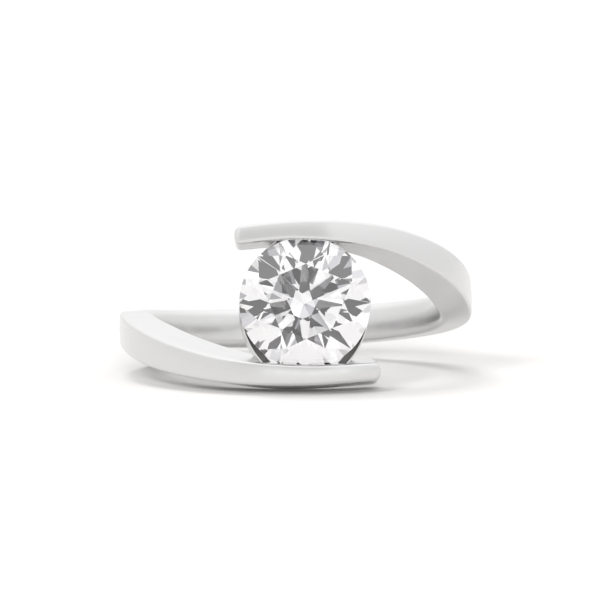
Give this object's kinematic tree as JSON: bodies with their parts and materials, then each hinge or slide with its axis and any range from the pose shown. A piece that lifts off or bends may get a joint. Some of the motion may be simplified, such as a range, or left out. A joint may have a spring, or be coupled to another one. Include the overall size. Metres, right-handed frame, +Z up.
{
  "type": "bypass engagement ring",
  "caption": "White metal finger ring whose band ends pass above and below a round brilliant stone and grip it between them, over an oval collar.",
  "frame": {"origin": "middle of the ring's outline, on the surface that it lies on", "axes": "+Z up; the stone looks along -Y and, by the ring's lean, a little up; the finger hole runs near +Z"},
  "size_m": [0.0204, 0.0232, 0.0098],
  "materials": {
    "white_gold": "polished white gold",
    "diamond": "polished flat facets"
  },
  "bodies": {
    "root": {"bypass_band": "white_gold", "center_stone": "diamond"}
  },
  "joints": []
}
